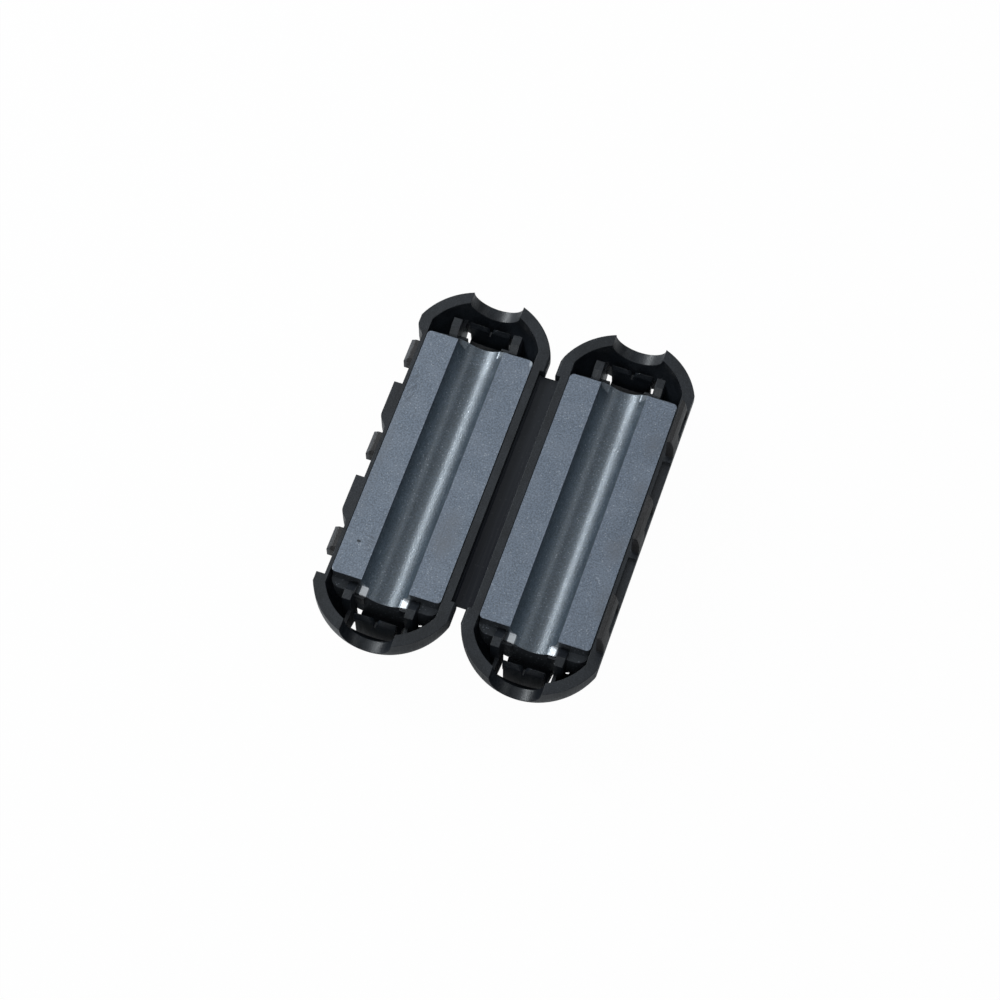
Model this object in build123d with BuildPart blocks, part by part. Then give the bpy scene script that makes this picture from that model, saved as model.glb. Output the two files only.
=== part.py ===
from build123d import *
import os

# A clip-on ferrite bead, opened flat as it comes from the mould.
# Two trough-shaped half cases lie on their backs beside each other and are
# joined by a folding strap.  Each half case holds one half of a ferrite core.
# X runs across both halves, Y runs along the cable, Z points up.
# The origin is under the middle of the strap, on the surface that the part
# lies on.  All sizes are in millimetres.

os.makedirs("parts", exist_ok=True)

# Ferrite cores
core_width = 12.7
core_length = 33.9
core_depth = 6.4
ledge_length = 1.0           # step at each end that the posts hold down
ledge_depth = 1.75
face_corner = 0.5            # rounding of the core face, seen from above
ledge_corner = 1.3           # rounding of the ledge, seen from above
bore_radius = 2.75
facet_width = 0.55           # ground facets beside the bore, on the ledges
facet_drop = 0.3             # lower edge of a facet, below its ledge

# Half cases
core_clearance = 0.08
free_wall = 1.37             # wall beside the core on the latch side
hinge_wall = 1.57            # wall beside the core on the hinge side
floor_thickness = 1.32
flank_depth = 1.05           # upright part of every flank, below the core faces
rim_drop = 0.1               # the rims stay this much below the core faces
rim_gap = 1.2                # between the two halves, at their round ends
dome_setback = 2.45          # centre of a round end, inside the core's end
dome_bulge = 0.63            # the round ends stand out this far past the latch side
dome_wall = 1.35
dome_sag = 0.05              # the round ends' own floors would lie this much lower
mouth_margin = 0.25          # the cable mouths are wider than the bore by this
hinge_bevel = 0.22           # bevel of the rim beside the hinge

# Folding strap
hinge_depth = 1.1            # the two folding lines, below the core faces
closed_gap = 0.04            # left between the core faces when shut
strap_overrun = 0.5          # the strap runs past the round ends' centres
strap_thickness = 0.45
bead_radius = 0.2            # round edges of the strap, on the folding lines
bead_clearance = 0.04
strap_side_gap = 0.1         # from a folding line to the wall behind it
strap_end_gap = 0.15

# Posts, lugs and ribs in the end pockets
post_margin = 0.12           # from the mouth's side to a post
post_width = 1.0
post_length = 1.55
post_drop = 0.2              # post tops below the core faces
post_clearance = 0.1         # to the end of the core
nose_flat = 1.15             # level part of a post's top, along Y
nose_tip_drop = 1.1          # tip of the sloping nose, below the core faces
lug_width = 1.07             # from a post's side towards the bore
lug_length = 0.3
lug_drop = 1.9
rib_thickness = 0.43
rib_drop = 3.2

# Cable grip tongues
slot_reach = 1.35            # slots begin this far inside the core's end
slot_drop = 3.3              # slots are cut up to this far below the core faces
slot_root_width = 0.42       # side slots beside a tongue, at its root
slot_tip_width = 0.82        # and at its tip
window_margin = 0.35         # mould windows are wider than the noses over them
tongue_length = 2.7          # tongue beyond the core's end
end_slot = 0.55
plate_top_half = 2.42
plate_foot_half = 2.2
plate_thickness = 0.65
plate_ridge = 0.35           # from the ridge to the plate's outer face
ridge_drop = 1.6             # ridge of the teeth, below the core faces
ridge_outer_fall = 0.75      # height of the bevel outside the ridge
ridge_inner_fall = 0.6       # height of the bevel inside the ridge
tooth_flat = 1.45            # straight part of each tooth's ridge
notch_depth = 1.5
notch_half_width = 0.12      # at the bottom of the notch

# Latches along the free side of each half
latch_pitch = 12.5
latch_shift = 0.55           # middle latch from the middle of the bead
latch_count = 3
bay_skin = 0.41              # thin wall left behind a hook
bay_south = 4.6              # square end of a bay, from the hook's middle
bay_north = 1.7              # start of the curved end of a bay
bay_sweep = 2.0              # length of the curved end along Y
bay_depth = 3.6
hook_south = 1.6
hook_north = 1.29
hook_depth = 1.92            # underside of a hook, below the core faces
hook_bevel_width = 0.5
hook_bevel_drop = 0.37
hook_end_bevel = 0.4         # the same slope round the hook's south end
loop_thickness = 0.88
loop_south = 3.6
loop_north = 2.0
loop_height = 3.3            # tops of the loops, above the core faces
loop_corner = 0.5
loop_root = 0.6              # depth of a loop's foot in the wall
window_south = 1.7
window_north = 1.62
window_height = 2.05         # top of a loop's window, above the core faces
panel_drop = 0.35            # sunk panels in the rim between the loops
panel_lip = 0.44             # rim left inside a sunk panel
panel_margin = 0.75

# Sizes that follow from those above
overcut = 1.0                # cutting shapes run past the faces they cut by this
cavity_half = core_width / 2 + core_clearance
cavity_floor = floor_thickness
face_height = floor_thickness + core_clearance + core_depth
rim_height = face_height - rim_drop
free_side = cavity_half + free_wall
hinge_side = cavity_half + hinge_wall
axis_offset = hinge_side + rim_gap / 2
core_corner = core_depth - flank_depth
cavity_corner = core_corner + core_clearance
case_corner = face_height - flank_depth
core_end = core_length / 2
face_end = core_end - ledge_length
facet_outer = (bore_radius**2 - ledge_depth**2) ** 0.5 + facet_width
facet_foot = (bore_radius**2 - (ledge_depth + facet_drop) ** 2) ** 0.5
dome_centre = core_end - dome_setback
dome_radius = free_side + dome_bulge
dome_end = dome_centre + dome_radius
pocket_radius = dome_radius - dome_wall
mouth_radius = bore_radius + mouth_margin
hinge_half_span = hinge_depth + closed_gap / 2
hinge_height = face_height - hinge_depth
hinge_line = axis_offset - hinge_half_span
strap_half = dome_centre + strap_overrun
relief_half = strap_half + strap_end_gap
relief_wall = hinge_line - strap_side_gap
post_inner = mouth_radius + post_margin
post_outer = post_inner + post_width
post_start = core_end + post_clearance
post_end = post_start + post_length
slot_start = core_end - slot_reach
slot_top = face_height - slot_drop
tongue_end = core_end + tongue_length
slot_end = tongue_end + end_slot
ridge_place = tongue_end - plate_ridge
ridge_height = face_height - ridge_drop
notch_bottom = ridge_height - notch_depth
tooth_start = plate_top_half - tooth_flat
bay_wall = cavity_half + bay_skin
loop_inner = free_side - loop_thickness
panel_inner = cavity_half + panel_lip
latch_places = [latch_shift + latch_pitch * (place - (latch_count - 1) / 2) for place in range(latch_count)]
above = face_height + loop_height + overcut


def trough(left, right, bottom, top, corner):
    """Cross-section of a trough: level top, upright flanks, both lower corners rounded."""
    with BuildSketch(Plane.XZ) as section:
        with BuildLine():
            Polyline((left, bottom), (right, bottom), (right, top), (left, top), close=True)
        make_face()
        fillet(section.vertices().group_by(Axis.Y)[0], corner)
    return section.sketch


def bowl_section(radius, bottom, top, corner):
    """Half section of a round bowl, to be turned half round its upright axis at the dome centre."""
    with BuildSketch(Plane.XZ.offset(-dome_centre)) as section:
        with BuildLine():
            Polyline((0, bottom), (radius, bottom), (radius, top), (0, top), close=True)
        make_face()
        fillet(section.vertices().group_by(Axis.Y)[0].sort_by(Axis.X)[-1], corner)
    return section.sketch


# Envelope of one half case: a straight trough whose ends follow two round bowls.
# The cable axis is at X = 0, the hinge side at +X and the latch side at -X.
dome_axis = Axis((0, dome_centre, 0), (0, 0, 1))

with BuildPart() as outer_bowls:
    extrude(trough(-dome_radius, dome_radius, -dome_sag, rim_height, case_corner + dome_sag), amount=-dome_centre)
    revolve(
        bowl_section(dome_radius, -dome_sag, rim_height, case_corner + dome_sag),
        axis=dome_axis,
        revolution_arc=180,
    )
    mirror(about=Plane.XZ)

with BuildPart() as envelope:
    extrude(trough(-free_side, hinge_side, 0, rim_height, case_corner), amount=dome_end, both=True)
    add(outer_bowls.part, mode=Mode.INTERSECT)

# Cavity for the core and, beyond its ends, the two rounded pockets
with BuildPart() as inner_bowls:
    extrude(
        trough(-pocket_radius, pocket_radius, cavity_floor - dome_sag, above, cavity_corner + dome_sag),
        amount=-dome_centre,
    )
    revolve(
        bowl_section(pocket_radius, cavity_floor - dome_sag, above, cavity_corner + dome_sag),
        axis=dome_axis,
        revolution_arc=180,
    )
    mirror(about=Plane.XZ)

with BuildPart() as cavity:
    extrude(trough(-cavity_half, cavity_half, cavity_floor, above, cavity_corner), amount=dome_end, both=True)
    add(inner_bowls.part, mode=Mode.INTERSECT)
    extrude(
        trough(-cavity_half, cavity_half, cavity_floor, above, cavity_corner),
        amount=core_end + core_clearance,
        both=True,
    )

# Ridged plate of a cable grip: a roof-shaped ridge, sides that lean in towards
# the foot, and a notch with rounded shoulders that leaves two teeth
with BuildPart() as grip_plate:
    with BuildSketch(Plane.YZ):
        with BuildLine():
            Polyline(
                (tongue_end - plate_thickness, 0),
                (tongue_end, 0),
                (tongue_end, ridge_height - ridge_outer_fall),
                (ridge_place, ridge_height),
                (tongue_end - plate_thickness, ridge_height - ridge_inner_fall),
                close=True,
            )
        make_face()
    extrude(amount=plate_top_half, both=True)
    with BuildSketch(Plane.XZ.offset(-tongue_end)):
        with BuildLine():
            Polyline(
                (plate_top_half, ridge_height),
                (plate_foot_half, 0),
                (plate_top_half + overcut, 0),
                (plate_top_half + overcut, ridge_height),
                close=True,
            )
        make_face()
        mirror(about=Plane.YZ)
        with BuildLine():
            TangentArc((notch_half_width, notch_bottom), (tooth_start, ridge_height), tangent=(0, 1))
            Line((tooth_start, ridge_height), (-tooth_start, ridge_height))
            TangentArc((-notch_half_width, notch_bottom), (-tooth_start, ridge_height), tangent=(0, 1))
            Line((-notch_half_width, notch_bottom), (notch_half_width, notch_bottom))
        make_face()
    extrude(amount=plate_thickness, mode=Mode.SUBTRACT)

# What stands in the end pockets: posts with sloping noses over the core's
# ledges, thin lugs beside them, low ribs behind them and the grip plates.
# Their feet follow the curved floor of the case.
with BuildPart() as pocket_fittings:
    with BuildSketch(Plane.YZ.offset(post_inner)):
        with BuildLine():
            Polyline(
                (post_start, 0),
                (post_end, 0),
                (post_end, face_height - post_drop),
                (post_end - nose_flat, face_height - post_drop),
                (face_end + post_clearance, face_height - nose_tip_drop),
                (face_end + post_clearance, face_height - ledge_depth + post_clearance),
                (post_start, face_height - ledge_depth + post_clearance),
                close=True,
            )
        make_face()
    extrude(amount=post_width)
    with BuildSketch(Plane.XY.offset(slot_top)):
        with Locations((post_inner - lug_width, post_start)):
            Rectangle(lug_width + post_width / 2, lug_length, align=(Align.MIN, Align.MIN))
    extrude(amount=slot_drop - lug_drop)
    with BuildSketch(Plane.XY):
        with Locations((post_inner, post_start)):
            Rectangle(rib_thickness, dome_end - post_start, align=(Align.MIN, Align.MIN))
    extrude(amount=face_height - rib_drop)
    mirror(about=Plane.YZ)
    add(grip_plate.part)
    mirror(about=Plane.XZ)
    add(envelope.part, mode=Mode.INTERSECT)

# The half case that both sides share
with BuildPart() as half_case:
    add(envelope.part)
    add(cavity.part, mode=Mode.SUBTRACT)
    with BuildSketch(Plane.XZ):
        with Locations((0, face_height)):
            Circle(mouth_radius)
    extrude(amount=dome_end + overcut, both=True, mode=Mode.SUBTRACT)
    add(pocket_fittings.part)
    # Slots that free the cable grips, with a window under each nose
    with BuildSketch(Plane.XY.offset(-overcut)) as slots:
        with BuildLine():
            Polyline(
                (post_inner - slot_root_width, slot_start),
                (post_inner - slot_tip_width, tongue_end),
                (0, tongue_end),
                (0, slot_end),
                (post_inner, slot_end),
                (post_inner, post_start),
                (post_outer + window_margin, post_start),
                (post_outer + window_margin, slot_start),
                close=True,
            )
        make_face()
        mirror(about=Plane.YZ)
        mirror(about=Plane.XZ)
    extrude(amount=overcut + slot_top, mode=Mode.SUBTRACT)
    # Wall set back behind the strap, with a groove for the strap's round edge
    with BuildSketch(Plane.XZ):
        with Locations((relief_wall, 0)):
            Rectangle(hinge_side, above, align=(Align.MIN, Align.MIN))
        with Locations((hinge_line, hinge_height)):
            Circle(bead_radius + bead_clearance)
    extrude(amount=relief_half, both=True, mode=Mode.SUBTRACT)
    # Bevel that lets the two rims pass each other while they fold
    with BuildSketch(Plane.XZ):
        with BuildLine():
            Polyline(
                (hinge_side - hinge_bevel, rim_height),
                (hinge_side, rim_height - hinge_bevel),
                (hinge_side, rim_height),
                close=True,
            )
        make_face()
    extrude(amount=dome_end, both=True, mode=Mode.SUBTRACT)

# Hook side: a bay behind each hook, square at its south end and curved at its
# north end, then the hook itself on the thin wall that is left
with BuildPart() as hook_half:
    add(half_case.part)
    for place in latch_places:
        curve_start = (-bay_wall, place + bay_north)
        curve_end = (-free_side, place + bay_north + bay_sweep)
        turn = (-(bay_wall + free_side) / 2, place + bay_north + bay_sweep / 2)
        with BuildSketch(Plane.XY.offset(face_height - bay_depth)):
            with BuildLine():
                Line((-bay_wall, place - bay_south), curve_start)
                TangentArc(curve_start, turn, tangent=(0, 1))
                TangentArc(curve_end, turn, tangent=(0, -1))
                Polyline(
                    curve_end,
                    (-free_side - overcut, curve_end[1]),
                    (-free_side - overcut, place - bay_south),
                    (-bay_wall, place - bay_south),
                )
            make_face()
        extrude(amount=bay_depth, mode=Mode.SUBTRACT)
        with BuildSketch(Plane.XZ.offset(hook_south - place)):
            with BuildLine():
                Polyline(
                    (-cavity_half - core_clearance, face_height - hook_depth),
                    (-free_side, face_height - hook_depth),
                    (-free_side, rim_height - hook_bevel_drop),
                    (hook_bevel_width - free_side, rim_height),
                    (-cavity_half - core_clearance, rim_height),
                    close=True,
                )
            make_face()
        extrude(amount=-hook_south - hook_north)
        with BuildSketch(Plane.YZ.offset(-bay_wall)):
            with BuildLine():
                Polyline(
                    (place - hook_south, rim_height - hook_bevel_drop),
                    (place - hook_south + hook_end_bevel, rim_height),
                    (place - hook_south, rim_height),
                    close=True,
                )
            make_face()
        extrude(amount=bay_wall - free_side, mode=Mode.SUBTRACT)

# Catch side: windowed loops that stand above the rim and continue the round
# outside of the other half when shut.  One loop is made at Y = 0 and repeated.
loop_flank_top = face_height + flank_depth
loop_top = face_height + loop_height
loop_lean = case_corner - (case_corner**2 - (loop_height - flank_depth) ** 2) ** 0.5

with BuildPart() as catch_loop:
    with BuildSketch(Plane.XZ.offset((loop_south - loop_north) / 2)):
        with BuildLine():
            TangentArc((-free_side, loop_flank_top), (loop_lean - free_side, loop_top), tangent=(0, 1))
            Polyline(
                (loop_lean - free_side, loop_top),
                (-loop_inner, loop_top),
                (-loop_inner, rim_height - loop_root),
                (-free_side, rim_height - loop_root),
                (-free_side, loop_flank_top),
            )
        make_face()
    extrude(amount=(loop_south + loop_north) / 2, both=True)
    fillet(catch_loop.edges().group_by(Axis.Y)[-1].sort_by(Axis.X)[:2], loop_corner)
    with BuildSketch(Plane.XY.offset(rim_height)):
        with Locations((-loop_inner, (window_north - window_south) / 2)):
            Rectangle(free_side, window_south + window_north)
    extrude(amount=rim_drop + window_height, mode=Mode.SUBTRACT)

with BuildPart() as catch_half:
    add(half_case.part)
    with BuildSketch(Plane.XY.offset(rim_height - panel_drop)):
        for lower, upper in zip(latch_places, latch_places[1:]):
            south = lower + loop_north
            north = upper - loop_south - panel_margin
            with Locations((-panel_inner, (south + north) / 2)):
                Rectangle(free_side, north - south, align=(Align.MAX, Align.CENTER))
    extrude(amount=panel_drop, mode=Mode.SUBTRACT)
    with Locations([(0, place, 0) for place in latch_places]):
        add(catch_loop.part)

# Half cases in place
with BuildPart() as hook_case:
    with Locations((-axis_offset, 0, 0)):
        add(hook_half.part)
hook_case.part.label = "hook_case"
export_step(hook_case.part, "parts/hook_case.step")

with BuildPart() as catch_case:
    mirrored_half = mirror(catch_half.part, about=Plane.YZ, mode=Mode.PRIVATE)
    with Locations((axis_offset, 0, 0)):
        add(mirrored_half)
catch_case.part.label = "catch_case"
export_step(catch_case.part, "parts/catch_case.step")

# Strap between the halves, with a round edge on each folding line
with BuildPart() as hinge_strap:
    with BuildSketch(Plane.XZ):
        with Locations((0, hinge_height - strap_thickness / 2)):
            Rectangle(2 * hinge_half_span, strap_thickness)
        with Locations((-hinge_half_span, hinge_height), (hinge_half_span, hinge_height)):
            Circle(bead_radius)
    extrude(amount=strap_half, both=True)
hinge_strap.part.label = "hinge_strap"
export_step(hinge_strap.part, "parts/hinge_strap.step")

# One core half: a round-backed bar with a half-round bore, a lapped face,
# a ledge at each end and small facets where the bore meets the ledges
with BuildPart() as core_half:
    extrude(
        trough(-core_width / 2, core_width / 2, face_height - core_depth, face_height, core_corner),
        amount=core_end,
        both=True,
    )
    with BuildSketch(Plane.XY) as core_outline:
        RectangleRounded(core_width, core_length, ledge_corner)
    extrude(amount=face_height, mode=Mode.INTERSECT)
    with BuildSketch(Plane.XY.offset(face_height - ledge_depth)):
        Rectangle(core_width, core_length)
        RectangleRounded(core_width, 2 * face_end, face_corner, mode=Mode.SUBTRACT)
    extrude(amount=ledge_depth, mode=Mode.SUBTRACT)
    with BuildSketch(Plane.XZ):
        with Locations((0, face_height)):
            Circle(bore_radius)
    extrude(amount=core_end, both=True, mode=Mode.SUBTRACT)
    for end in (-core_end, face_end):
        with BuildSketch(Plane.XZ.offset(-end)):
            with BuildLine():
                Polyline(
                    (facet_outer, face_height - ledge_depth),
                    (facet_foot, face_height - ledge_depth - facet_drop),
                    (facet_foot, face_height - ledge_depth),
                    close=True,
                )
            make_face()
            mirror(about=Plane.YZ)
        extrude(amount=-ledge_length, mode=Mode.SUBTRACT)

with BuildPart() as hook_core:
    with Locations((-axis_offset, 0, 0)):
        add(core_half.part)
hook_core.part.label = "hook_core"
export_step(hook_core.part, "parts/hook_core.step")

with BuildPart() as catch_core:
    with Locations((axis_offset, 0, 0)):
        add(core_half.part)
catch_core.part.label = "catch_core"
export_step(catch_core.part, "parts/catch_core.step")
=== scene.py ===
import bpy
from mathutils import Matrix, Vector

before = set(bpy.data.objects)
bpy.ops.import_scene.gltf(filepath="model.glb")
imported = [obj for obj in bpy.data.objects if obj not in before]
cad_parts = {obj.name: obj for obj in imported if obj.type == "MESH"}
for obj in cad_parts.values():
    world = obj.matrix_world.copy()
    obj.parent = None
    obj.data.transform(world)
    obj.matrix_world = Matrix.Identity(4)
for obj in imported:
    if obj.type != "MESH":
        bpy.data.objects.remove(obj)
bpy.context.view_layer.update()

MM = 0.001

# Camera: where the photograph was taken from, in metres
CAMERA_PLACE = Vector((0.04281, -0.12645, 0.27996))
CAMERA_AIM = Vector((-0.000167, -0.0018495, 0.00778))
SENSOR_WIDTH = 36.0
FOCAL_LENGTH = 98.006
CLIP_NEAR = 0.01
CLIP_FAR = 10.0

# Studio: soft lamps as (name, direction from the bead, distance, width, power)
FLOOR_HALF = 0.6
FLOOR_COLOUR = (0.9, 0.9, 0.9, 1.0)
FLOOR_ROUGHNESS = 0.9
FLOOR_GLOW = 0.98            # share of plain white that the camera sees
ROOM_LIGHT = 0.10
WHITE = (1.0, 1.0, 1.0, 1.0)
LAMP_COLOUR = (0.92, 0.97, 1.0)
LAMPS = (
    ("side_lamp", (-0.73, 0.41, 0.54), 0.42, 0.15, 0.98),
    ("top_lamp", (-0.25, 0.42, 0.87), 0.50, 0.42, 0.28),
    ("front_lamp", (0.10, -0.60, 0.80), 0.50, 0.30, 0.69),
    ("right_lamp", (0.62, 0.41, 0.67), 0.50, 0.18, 0.17),
)

# Places on the bead, in millimetres; a pair is where one finish fades into another
AXIS_OFFSET = 8.6            # each bore's axis, across from the middle
FACE_HEIGHT = 7.8            # the lapped faces, up from the floor
FACE_START = (FACE_HEIGHT - 0.06, FACE_HEIGHT - 0.02)
BORE_EDGE = (2.80, 2.95)     # across from the bore's axis
CORE_END = (16.90, 16.94)    # along from the middle
LATCH_PITCH = 12.5           # from one hook to the next
LATCH_SHIFT = 0.55           # the middle hook, to the back
HOOK_HALF = (1.6, 1.7)       # half a hook's width
HOOK_INSIDE = (15.42, 15.46)
HOOK_BEVEL = (16.01, 16.04)
HOOK_FOOT = (5.9, 6.0)
LOOP_FOOT = (7.72, 7.9)
STRAP_LENGTH = (-15.0, 15.0)
STRAP_BEAD = (0.86, 0.94)    # the strap's round edges, across from its middle

# Facets beside the bores' ends, as (end, share of painted glint): a painted white glint at the
# front ends only
FACET_CENTRE = (2.38, 16.45, 5.9)
FACET_HALF = (0.36, 0.52, 0.26)
FACET_FEATHER = 0.05
FACET_GLINTS = ((-1, 1.0), (1, 0.05))

# Marks and painted shadows on the cores, as (centre, half sizes, ...) in millimetres
PATCHES = (                  # rub mark, painted shadows of the loops, darker edge strip: (..., strength)
    # a rub mark
    ((-4.4, -7.9, FACE_HEIGHT), (1.3, 2.6, 1.0), 0.60),
    # painted shadows of the loops, cast on the core beside them: this row and the next three
    ((14.0, 9.9, FACE_HEIGHT), (0.9, 1.5, 1.0), 0.50),
    ((14.2, 4.1, FACE_HEIGHT), (0.9, 1.3, 1.0), 0.45),
    ((13.9, -3.3, FACE_HEIGHT), (1.0, 1.8, 1.0), 0.50),
    ((14.5, -10.0, FACE_HEIGHT), (0.7, 1.5, 1.0), 0.45),
    # darker along the outer edge of the core at -X
    ((-14.6, -2.5, FACE_HEIGHT), (0.6, 6.0, 1.0), 0.40),
)
SCRATCHED = (                # lapping scratches: (..., turn, strength)
    ((-14.35, 8.3, FACE_HEIGHT), (0.75, 2.3, 0.2), -1.35, 0.50),
    ((-12.0, -11.4, FACE_HEIGHT), (0.5, 1.3, 0.2), 0.2, 0.50),
    ((-5.6, 10.5, FACE_HEIGHT), (0.6, 2.6, 0.2), -0.9, 0.30),
)
PIT = ((-13.23, -11.67, FACE_HEIGHT), (0.25, 0.13, 0.2))
CHIPS = (                    # two chipped corners and two white specks
    ((-2.45, 15.62, FACE_HEIGHT), (0.16, 0.42, 0.3)),
    ((-14.88, -15.75, 7.7), (0.14, 0.2, 0.3)),
    ((-11.34, -2.84, 7.75), (0.07, 0.07, 0.1)),
    ((11.34, 2.89, 7.75), (0.06, 0.06, 0.1)),
)
PATCH_FEATHER = 0.8          # feathers of the marks, as shares of their half sizes
SCRATCHED_FEATHER = 0.5
PIT_FEATHER = 0.25
CHIP_FEATHER = 0.4

# Colours; those of a grain are a pair, dark and light
SINTERED = ((0.024, 0.037, 0.052, 1.0), (0.085, 0.116, 0.150, 1.0))
LAPPED = ((0.060, 0.081, 0.118, 1.0), (0.181, 0.230, 0.314, 1.0))
LAPPED_CLOUD = (0.135, 0.150, 0.180, 1.0)
# painted shade: near black on the cores' ends, and on their sides and ledges below the lapped face
PAINTED_END_SHADE = (0.012, 0.014, 0.018, 1.0)
CRYSTAL = (0.40, 0.44, 0.50, 1.0)
PORE = (0.030, 0.036, 0.046, 1.0)
# painted white glint on the facets at the bores' front ends
FACET_PAINTED_GLINT = (0.95, 0.97, 1.0, 1.0)
# a rub mark, and painted shadows of the loops
RUB_AND_SHADOW_GREY = (0.098, 0.102, 0.120, 1.0)
SCRATCH = (0.025, 0.030, 0.040, 1.0)
PIT_BLACK = (0.004, 0.005, 0.007, 1.0)
CHIP_GREY = (0.50, 0.54, 0.59, 1.0)
FERRITE_TINT = (0.86, 0.93, 1.0, 1.0)
FERRITE_IOR = 2.2
NYLON = ((0.0060, 0.0085, 0.0120, 1.0), (0.0190, 0.0230, 0.0295, 1.0))
LATCH_NYLON = ((0.020, 0.018, 0.018, 1.0), (0.040, 0.037, 0.037, 1.0))
# painted sheen on the hooks' outer bevels
BEVEL_PAINTED_SHEEN = (0.080, 0.083, 0.090, 1.0)
NYLON_SPECK = (0.06, 0.065, 0.07, 1.0)
# painted shading along the strap: darker blue at the front, lighter at the back
STRAP_SHADED_FRONT = (0.0010, 0.0028, 0.0080, 1.0)
STRAP_LIT_BACK = (0.0165, 0.0195, 0.0255, 1.0)
STRAP_STREAK = (0.020, 0.022, 0.026, 1.0)
STRAP_SPECULAR = 0.32
DUST = (0.10, 0.10, 0.11, 1.0)

# How much of a colour shows
CLOUD_SHARE = 0.35
CRYSTAL_SHARE = 0.7
PORE_SHARE = 0.6
CHIP_SHARE = 0.8
LATCH_SHARE = 0.8
SPECK_SHARE = 0.45
STREAK_SHARE = 0.3
DUST_SHARE = 0.12
FERRITE_SHADE = (0.88, 1.06) # clouds, darkest and lightest
NYLON_SHADE = (0.8, 1.15)

# Sizes and bump depths of the finishes, in millimetres
FERRITE_GRAIN = 0.19
FERRITE_CLOUD = 2.6
FERRITE_BUMP = 0.006
NYLON_GRAIN = 0.13
NYLON_CLOUD = 3.5
NYLON_BUMP = 0.005
NYLON_EDGE = 0.08            # how far the shading rounds the edges
STRAP_GRAIN = 0.12
STRAP_CLOUD = 5.0
STRAP_BUMP = 0.002
DUST_SIZE = 0.3
LENGTHWISE = 1.5708          # quarter turn: scratches run along the bead
LAPPING_LINES = {"Length": 0.8 * MM, "Width": 0.10 * MM, "Least": 0.46}
NYLON_LINES = {"Turn": LENGTHWISE, "Length": 6.0 * MM, "Width": 0.16 * MM, "Least": 0.52}
STRAP_LINES = {"Turn": LENGTHWISE, "Length": 9.0 * MM, "Width": 0.14 * MM, "Least": 0.5}

# Roughness: a pair is from the first finish to the second, one number is added or taken off
FERRITE_ROUGH = (0.39, 0.48) # sintered, lapped
OUTER_ROUGH = 0.25
GRAIN_ROUGH = (-0.05, 0.06)
CRYSTAL_SMOOTH = 0.12
DULL_ROUGH = 0.35
NYLON_ROUGH = (0.36, 0.46)
LATCH_ROUGH = 0.10
NYLON_LINES_SMOOTH = 0.06
STRAP_ROUGH = (0.34, 0.42)
STRAP_LINES_ROUGH = 0.04
STRAP_BEAD_ROUGH = 0.40


def mm(*sizes):
    """Sizes in millimetres, as a vector in metres."""
    return tuple(size * MM for size in sizes)


class Tree:
    """A node tree with short ways to add nodes; values are numbers or other nodes' sockets."""

    def __init__(self, tree):
        self.nodes = tree.nodes
        self.links = tree.links

    def feed(self, socket, value):
        """Links another node's socket to this one, or sets its number."""
        if isinstance(value, bpy.types.NodeSocket):
            self.links.new(value, socket)
        else:
            socket.default_value = value

    def add(self, kind, values=None, **settings):
        """A new node with these settings and input values."""
        made = self.nodes.new(kind)
        for key, value in settings.items():
            setattr(made, key, value)
        for key, value in (values or {}).items():
            self.feed(made.inputs[key], value)
        return made

    def math(self, operation, *terms):
        """The result of one calculation with numbers."""
        return self.add("ShaderNodeMath", dict(enumerate(terms)), operation=operation).outputs[0]

    def times(self, one, other):
        """One number times the other."""
        return self.math("MULTIPLY", one, other)

    def plus(self, one, other):
        """The sum of two numbers."""
        return self.math("ADD", one, other)

    def minus(self, one, other):
        """One number less the other."""
        return self.math("SUBTRACT", one, other)

    def vector(self, operation, *terms):
        """The result of one calculation with vectors."""
        values = dict(enumerate(terms))
        made = self.add("ShaderNodeVectorMath", values, operation=operation)
        return made.outputs["Value" if operation == "LENGTH" else "Vector"]

    def fade(self, value, low, high, start=0.0, end=1.0):
        """Smooth step from start, where value is low, to end, where it is high."""
        values = {"Value": value, "From Min": low, "From Max": high, "To Min": start, "To Max": end}
        made = self.add("ShaderNodeMapRange", values, interpolation_type="SMOOTHSTEP")
        return made.outputs["Result"]

    def past(self, value, limits, start=0.0, end=1.0):
        """Fade between two limits in millimetres."""
        return self.fade(value, limits[0] * MM, limits[1] * MM, start, end)

    def mix(self, share, one, other):
        """Colour one where share is 0, colour other where it is 1."""
        made = self.add("ShaderNodeMix", data_type="RGBA")
        self.feed(made.inputs[0], share)
        self.feed(made.inputs[6], one)
        self.feed(made.inputs[7], other)
        return made.outputs[2]

    def shade(self, colour, amount):
        """The colour times a grey amount."""
        made = self.add("ShaderNodeMix", {0: 1.0}, data_type="RGBA", blend_type="MULTIPLY")
        self.feed(made.inputs[6], colour)
        self.links.new(amount, made.inputs[7])
        return made.outputs[2]

    def parts(self, vector):
        """The X, Y and Z of a vector."""
        return self.add("ShaderNodeSeparateXYZ", {"Vector": vector}).outputs

    def group(self, tree, vector, **values):
        """A node group's outputs, at these coordinates."""
        made = self.add("ShaderNodeGroup", {"Vector": vector}, node_tree=tree)
        for key, value in values.items():
            self.feed(made.inputs[key], value)
        return made.outputs


def add_camera():
    """The photograph's camera, level, aimed at the middle of the bead."""
    data = bpy.data.cameras.new("photo_camera")
    data.sensor_width = SENSOR_WIDTH
    data.lens = FOCAL_LENGTH
    data.clip_start = CLIP_NEAR
    data.clip_end = CLIP_FAR
    camera = bpy.data.objects.new("photo_camera", data)
    camera.location = CAMERA_PLACE
    camera.rotation_euler = (CAMERA_AIM - CAMERA_PLACE).to_track_quat("-Z", "Y").to_euler()
    bpy.context.scene.collection.objects.link(camera)
    bpy.context.scene.camera = camera


def new_material(name):
    """An empty node material: (material, its tree, Object coordinates, its Principled shader)."""
    material = bpy.data.materials.new(name)
    material.use_nodes = True
    tree = Tree(material.node_tree)
    place = tree.add("ShaderNodeTexCoord").outputs["Object"]
    return material, tree, place, material.node_tree.nodes["Principled BSDF"]


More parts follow.
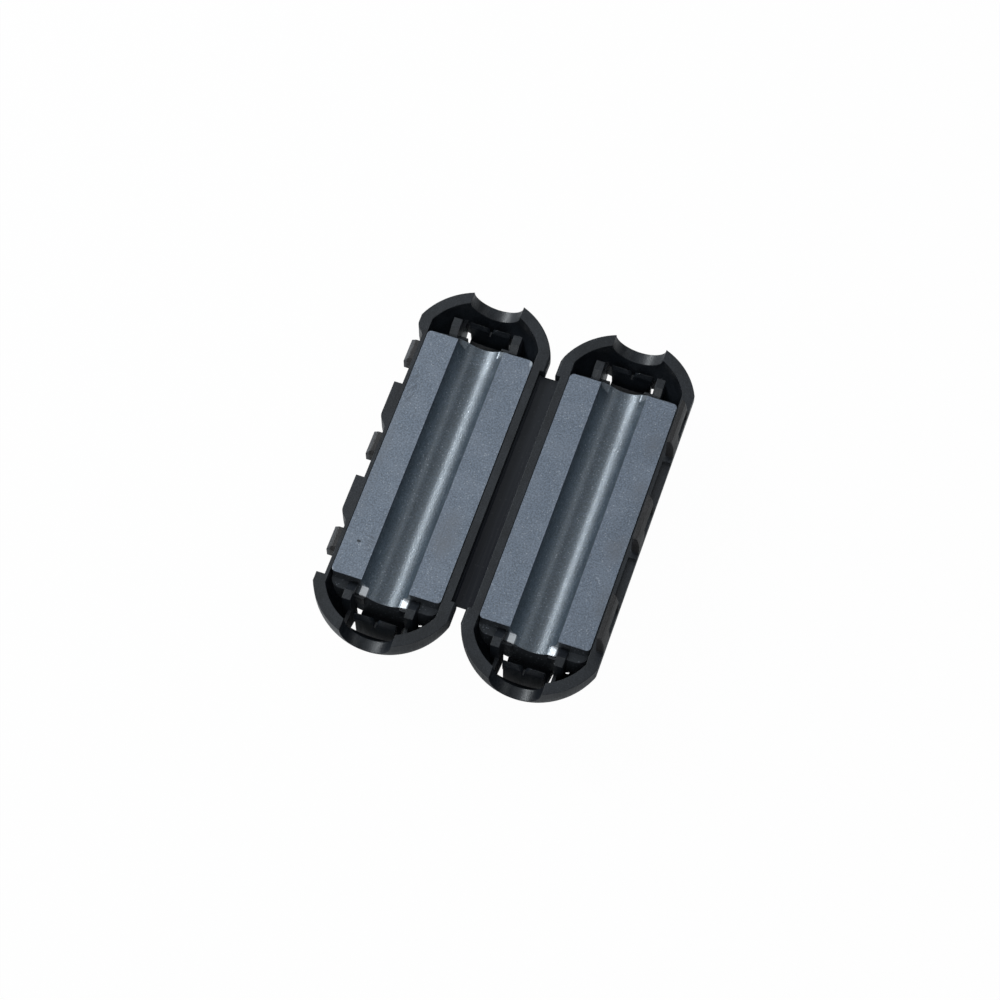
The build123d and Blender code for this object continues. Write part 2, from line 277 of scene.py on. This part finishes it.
def add_lamp(name, direction, distance, size, power):
    """A square soft lamp that faces the bead."""
    data = bpy.data.lights.new(name, "AREA")
    data.shape = "SQUARE"
    data.size = size
    data.energy = power
    data.color = LAMP_COLOUR
    lamp = bpy.data.objects.new(name, data)
    lamp.location = CAMERA_AIM + Vector(direction).normalized() * distance
    lamp.rotation_euler = (CAMERA_AIM - lamp.location).to_track_quat("-Z", "Y").to_euler()
    bpy.context.scene.collection.objects.link(lamp)


def add_room():
    """A room that is white to the camera and gives only a little light."""
    world = bpy.data.worlds.new("white_room")
    bpy.context.scene.world = world
    world.use_nodes = True
    tree = Tree(world.node_tree)
    rays = tree.add("ShaderNodeLightPath").outputs
    seen = tree.math("MAXIMUM", rays["Is Camera Ray"], rays["Is Transmission Ray"])
    strength = tree.math("MULTIPLY_ADD", seen, 1.0 - ROOM_LIGHT, ROOM_LIGHT)
    background = world.node_tree.nodes["Background"]
    background.inputs["Color"].default_value = WHITE
    tree.links.new(strength, background.inputs["Strength"])


def add_floor():
    """A white floor that keeps a trace of the bead's shadow."""
    mesh = bpy.data.meshes.new("studio_floor")
    edge = FLOOR_HALF
    corners = [(-edge, -edge, 0), (edge, -edge, 0), (edge, edge, 0), (-edge, edge, 0)]
    mesh.from_pydata(corners, [], [(0, 1, 2, 3)])
    floor = bpy.data.objects.new("studio_floor", mesh)
    bpy.context.scene.collection.objects.link(floor)
    material, tree, _, shader = new_material("white_floor")
    shader.inputs["Base Color"].default_value = FLOOR_COLOUR
    shader.inputs["Roughness"].default_value = FLOOR_ROUGHNESS
    glow = tree.add("ShaderNodeEmission", {"Strength": 1.0})
    rays = tree.add("ShaderNodeLightPath").outputs
    share = tree.times(rays["Is Camera Ray"], FLOOR_GLOW)
    ends = {"Fac": share, 1: shader.outputs[0], 2: glow.outputs[0]}
    mix = tree.add("ShaderNodeMixShader", ends)
    surface = material.node_tree.nodes["Material Output"].inputs["Surface"]
    tree.links.new(mix.outputs[0], surface)
    mesh.materials.append(material)


def add_studio():
    """White floor, white room and soft lamps."""
    bpy.context.scene.view_settings.view_transform = "Standard"
    add_room()
    for lamp in LAMPS:
        add_lamp(*lamp)
    add_floor()


def new_group(name, inputs, outputs):
    """An empty node group with a Vector input: (group, its tree, its inputs, its outputs)."""
    group = bpy.data.node_groups.new(name, "ShaderNodeTree")
    for title, kind in (("Vector", "Vector"),) + inputs:
        group.interface.new_socket(name=title, in_out="INPUT", socket_type="NodeSocket" + kind)
    for title in outputs:
        group.interface.new_socket(name=title, in_out="OUTPUT", socket_type="NodeSocketFloat")
    tree = Tree(group)
    given = tree.add("NodeGroupInput").outputs
    return group, tree, given, tree.add("NodeGroupOutput").inputs


def grain_group():
    """Fine grain of a given size: an even noise, a few light crystals and a few dark pores.

    Cells with the highest random values hold the crystals, those with the lowest the pores.
    """
    group, tree, given, out = new_group("grain", (("Size", "Float"),), ("Fine", "Light", "Dark"))
    rate = tree.math("DIVIDE", 1.0, given["Size"])
    scaled = {"Vector": given["Vector"], "Scale": rate}
    noise = tree.add("ShaderNodeTexNoise", {**scaled, "Detail": 2.0, "Roughness": 0.6})
    cells = tree.add("ShaderNodeTexVoronoi", scaled)
    value = tree.add("ShaderNodeSeparateColor", {"Color": cells.outputs["Color"]}).outputs[0]
    core = tree.fade(cells.outputs["Distance"], 0.25, 0.5, 1.0, 0.0)
    tree.links.new(tree.fade(noise.outputs["Fac"], 0.36, 0.64), out["Fine"])
    tree.links.new(tree.times(tree.fade(value, 0.84, 0.95), core), out["Light"])
    tree.links.new(tree.times(tree.fade(value, 0.03, 0.10, 1.0, 0.0), core), out["Dark"])
    return group


def clouds_group():
    """Soft uneven patches of a given size, as a mask between 0 and 1."""
    group, tree, given, out = new_group("clouds", (("Size", "Float"),), ("Mask",))
    rate = tree.math("DIVIDE", 1.0, given["Size"])
    values = {"Vector": given["Vector"], "Scale": rate, "Detail": 3.0, "Roughness": 0.55}
    noise = tree.add("ShaderNodeTexNoise", values)
    tree.links.new(tree.fade(noise.outputs["Fac"], 0.32, 0.68), out["Mask"])
    return group


def spot_group():
    """An oval spot: 1 inside, fading to 0 over the feather, which is a share of its half sizes."""
    inputs = (("Centre", "Vector"), ("Half", "Vector"), ("Feather", "Float"))
    group, tree, given, out = new_group("spot", inputs, ("Mask",))
    away = tree.vector("SUBTRACT", given["Vector"], given["Centre"])
    away = tree.vector("DIVIDE", away, given["Half"])
    far = tree.plus(1.0, given["Feather"])
    near = tree.minus(1.0, given["Feather"])
    tree.links.new(tree.fade(tree.vector("LENGTH", away), near, far, 1.0, 0.0), out["Mask"])
    return group


def block_group():
    """A box: 1 inside its half sizes, fading to 0 within the feather outside them."""
    inputs = (("Centre", "Vector"), ("Half", "Vector"), ("Feather", "Float"))
    group, tree, given, out = new_group("block", inputs, ("Mask",))
    away = tree.vector("ABSOLUTE", tree.vector("SUBTRACT", given["Vector"], given["Centre"]))
    past = tree.parts(tree.vector("SUBTRACT", away, given["Half"]))
    most = tree.math("MAXIMUM", tree.math("MAXIMUM", past["X"], past["Y"]), past["Z"])
    tree.links.new(tree.fade(most, 0.0, given["Feather"], 1.0, 0.0), out["Mask"])
    return group


def scratches_group():
    """Fine straight scratches: noise stretched one way, of which only the highest ridges show."""
    inputs = (("Turn", "Float"), ("Length", "Float"), ("Width", "Float"), ("Least", "Float"))
    group, tree, given, out = new_group("scratches", inputs, ("Mask",))
    turn = {"Vector": given["Vector"], "Angle": given["Turn"]}
    turned = tree.add("ShaderNodeVectorRotate", turn, rotation_type="Z_AXIS")
    sizes = {"X": given["Length"], "Y": given["Width"], "Z": given["Length"]}
    size = tree.add("ShaderNodeCombineXYZ", sizes)
    spread = tree.vector("DIVIDE", turned.outputs[0], size.outputs[0])
    noise = tree.add("ShaderNodeTexNoise", {"Vector": spread, "Scale": 1.0, "Detail": 1.0})
    most = tree.plus(given["Least"], 0.1)
    tree.links.new(tree.fade(noise.outputs["Fac"], given["Least"], most), out["Mask"])
    return group


def add_bump(tree, shader, height, depth, **values):
    """Feeds the shader's Normal from a height, with this depth in millimetres."""
    values.update({"Strength": 1.0, "Distance": depth * MM, "Height": height})
    bump = tree.add("ShaderNodeBump", values)
    tree.links.new(bump.outputs[0], shader.inputs["Normal"])


def ferrite_material(groups):
    """Ferrite: blue-grey grain with light crystals and dark pores, lighter on the lapped face, with
    painted shade on the ends and ledges, painted glints on the front facets and painted shadows of
    the loops.
    """
    material, tree, place, shader = new_material("lapped_ferrite")
    grain = tree.group(groups["grain"], place, Size=FERRITE_GRAIN * MM)
    clouds = tree.group(groups["clouds"], place, Size=FERRITE_CLOUD * MM)["Mask"]
    parts = tree.parts(place)
    lapped = tree.past(parts["Z"], FACE_START)

    def spot(centre, half, feather):
        return tree.group(
            groups["spot"], place, Centre=mm(*centre), Half=mm(*half), Feather=feather
        )["Mask"]

    # Across: distance from the bore's axis, the same on both cores
    across = tree.minus(tree.math("ABSOLUTE", parts["X"]), AXIS_OFFSET * MM)
    across = tree.math("ABSOLUTE", across)
    end = tree.math("ABSOLUTE", parts["Y"])
    folded = {"X": across, "Y": parts["Y"], "Z": parts["Z"]}
    folded = tree.add("ShaderNodeCombineXYZ", folded).outputs[0]
    # Painted shade: the ends, and the sides and ledges away from the bore below the lapped face,
    # are painted near black; they are rougher too
    shaded_ends = tree.times(tree.past(across, BORE_EDGE), tree.minus(1.0, lapped))
    shaded_ends = tree.math("MAXIMUM", shaded_ends, tree.past(end, CORE_END))

    sintered = tree.mix(shaded_ends, tree.mix(grain["Fine"], *SINTERED), PAINTED_END_SHADE)
    face = tree.mix(grain["Fine"], *LAPPED)
    face = tree.mix(tree.times(clouds, CLOUD_SHARE), face, LAPPED_CLOUD)
    colour = tree.mix(lapped, sintered, face)
    colour = tree.mix(tree.times(grain["Light"], CRYSTAL_SHARE), colour, CRYSTAL)
    colour = tree.mix(tree.times(grain["Dark"], PORE_SHARE), colour, PORE)
    colour = tree.shade(colour, tree.fade(clouds, 0.0, 1.0, *FERRITE_SHADE))

    # What is dull as well: the back facets, the scratches and the pit; the front facets get a
    # painted white glint
    dull = []
    for sign, glint in FACET_GLINTS:
        x, y, z = FACET_CENTRE
        facet = tree.group(
            groups["block"], folded,
            Centre=mm(x, sign * y, z), Half=mm(*FACET_HALF), Feather=FACET_FEATHER * MM,
        )["Mask"]
        colour = tree.mix(tree.times(facet, glint), colour, FACET_PAINTED_GLINT)
        dull.append(tree.times(facet, 1.0 - glint))
    # A rub mark, painted shadows of the loops and a darker edge strip
    for centre, half, strength in PATCHES:
        patchy = tree.fade(clouds, 0.1, 0.9, 0.4 * strength, strength)
        patch = tree.times(spot(centre, half, PATCH_FEATHER), patchy)
        colour = tree.mix(patch, colour, RUB_AND_SHADOW_GREY)
    for centre, half, turn, strength in SCRATCHED:
        lines = tree.group(groups["scratches"], place, Turn=turn, **LAPPING_LINES)["Mask"]
        area = spot(centre, half, SCRATCHED_FEATHER)
        share = tree.times(tree.times(area, lines), strength)
        colour = tree.mix(share, colour, SCRATCH)
        dull.append(share)
    pit = spot(*PIT, PIT_FEATHER)
    dull.append(pit)
    colour = tree.mix(pit, colour, PIT_BLACK)
    for centre, half in CHIPS:
        chip = tree.times(spot(centre, half, CHIP_FEATHER), CHIP_SHARE)
        colour = tree.mix(chip, colour, CHIP_GREY)

    tree.links.new(colour, shader.inputs["Base Color"])
    shader.inputs["IOR"].default_value = FERRITE_IOR
    shader.inputs["Specular Tint"].default_value = FERRITE_TINT
    rough = tree.fade(lapped, 0.0, 1.0, *FERRITE_ROUGH)
    rough = tree.plus(rough, tree.times(shaded_ends, OUTER_ROUGH))
    rough = tree.plus(rough, tree.fade(grain["Fine"], 0.0, 1.0, *GRAIN_ROUGH))
    rough = tree.minus(rough, tree.times(grain["Light"], CRYSTAL_SMOOTH))
    for share in dull:
        rough = tree.plus(rough, tree.times(share, DULL_ROUGH))
    tree.links.new(rough, shader.inputs["Roughness"])

    height = tree.plus(grain["Fine"], tree.times(grain["Light"], 0.5))
    hollows = tree.plus(tree.times(grain["Dark"], 0.8), tree.times(pit, 6.0))
    add_bump(tree, shader, tree.minus(height, hollows), FERRITE_BUMP)
    return material


def nylon_material(groups):
    """Black moulded nylon: satin skin with a fine texture, rougher, browner latch tops, and a
    painted sheen on the hooks' outer bevels.
    """
    material, tree, place, shader = new_material("black_nylon")
    grain = tree.group(groups["grain"], place, Size=NYLON_GRAIN * MM)
    clouds = tree.group(groups["clouds"], place, Size=NYLON_CLOUD * MM)["Mask"]
    streaks = tree.group(groups["scratches"], place, **NYLON_LINES)["Mask"]
    parts = tree.parts(place)

    # Latch tops: the hooks, outside the thin walls and near the rim, and the loops above the rim
    shifted = tree.plus(parts["Y"], (LATCH_PITCH * 2 - LATCH_SHIFT) * MM)
    along = tree.math("PINGPONG", shifted, LATCH_PITCH / 2 * MM)
    hooks = tree.past(along, HOOK_HALF, 1.0, 0.0)
    left = tree.times(parts["X"], -1.0)
    hook_tops = tree.times(hooks, tree.past(left, HOOK_INSIDE))
    hook_tops = tree.times(hook_tops, tree.past(parts["Z"], HOOK_FOOT))
    latch = tree.math("MAXIMUM", hook_tops, tree.past(parts["Z"], LOOP_FOOT))
    sheen_bevels = tree.times(hook_tops, tree.past(left, HOOK_BEVEL))

    skin = tree.mix(grain["Fine"], *NYLON)
    rough_skin = tree.mix(grain["Fine"], *LATCH_NYLON)
    colour = tree.mix(tree.times(latch, LATCH_SHARE), skin, rough_skin)
    # Painted sheen: the hooks' outer bevels are painted light grey
    colour = tree.mix(tree.times(sheen_bevels, LATCH_SHARE), colour, BEVEL_PAINTED_SHEEN)
    colour = tree.mix(tree.times(grain["Light"], SPECK_SHARE), colour, NYLON_SPECK)
    colour = tree.shade(colour, tree.fade(clouds, 0.0, 1.0, *NYLON_SHADE))
    tree.links.new(colour, shader.inputs["Base Color"])

    rough = tree.fade(clouds, 0.0, 1.0, *NYLON_ROUGH)
    rough = tree.plus(rough, tree.times(latch, LATCH_ROUGH))
    rough = tree.minus(rough, tree.times(streaks, NYLON_LINES_SMOOTH))
    tree.links.new(rough, shader.inputs["Roughness"])
    height = tree.times(grain["Fine"], tree.fade(latch, 0.0, 1.0, 1.0, 1.8))
    edge = tree.add("ShaderNodeBevel", {"Radius": NYLON_EDGE * MM}, samples=4)
    add_bump(tree, shader, height, NYLON_BUMP, Normal=edge.outputs[0])
    return material


def strap_material(groups):
    """The strap's smoother nylon, drawn lengthwise, with a little dust, and painted shading from
    darker at the front to lighter at the back.
    """
    material, tree, place, shader = new_material("strap_nylon")
    grain = tree.group(groups["grain"], place, Size=STRAP_GRAIN * MM)
    clouds = tree.group(groups["clouds"], place, Size=STRAP_CLOUD * MM)["Mask"]
    streaks = tree.group(groups["scratches"], place, **STRAP_LINES)["Mask"]
    dust = tree.group(groups["grain"], place, Size=DUST_SIZE * MM)["Light"]
    parts = tree.parts(place)
    beads = tree.past(tree.math("ABSOLUTE", parts["X"]), STRAP_BEAD)

    # Painted shading: the strap fades from near-black blue at the front to lighter at the back
    colour = tree.mix(tree.past(parts["Y"], STRAP_LENGTH), STRAP_SHADED_FRONT, STRAP_LIT_BACK)
    colour = tree.mix(tree.times(streaks, STREAK_SHARE), colour, STRAP_STREAK)
    colour = tree.mix(tree.times(dust, DUST_SHARE), colour, DUST)
    tree.links.new(colour, shader.inputs["Base Color"])
    shader.inputs["Specular IOR Level"].default_value = STRAP_SPECULAR

    rough = tree.fade(clouds, 0.0, 1.0, *STRAP_ROUGH)
    rough = tree.plus(rough, tree.times(streaks, STRAP_LINES_ROUGH))
    rough = tree.plus(rough, tree.times(beads, STRAP_BEAD_ROUGH))
    tree.links.new(rough, shader.inputs["Roughness"])
    height = tree.plus(tree.times(grain["Fine"], 0.6), tree.times(streaks, 0.8))
    add_bump(tree, shader, height, STRAP_BUMP)
    return material


def paint(names, material):
    """Gives these CAD nodes one material."""
    for name in names:
        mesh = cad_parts[name].data
        mesh.materials.clear()
        mesh.materials.append(material)


add_camera()
add_studio()
finishes = {
    "grain": grain_group(),
    "clouds": clouds_group(),
    "spot": spot_group(),
    "block": block_group(),
    "scratches": scratches_group(),
}
paint(("hook_case", "catch_case"), nylon_material(finishes))
paint(("hinge_strap",), strap_material(finishes))
paint(("hook_core", "catch_core"), ferrite_material(finishes))
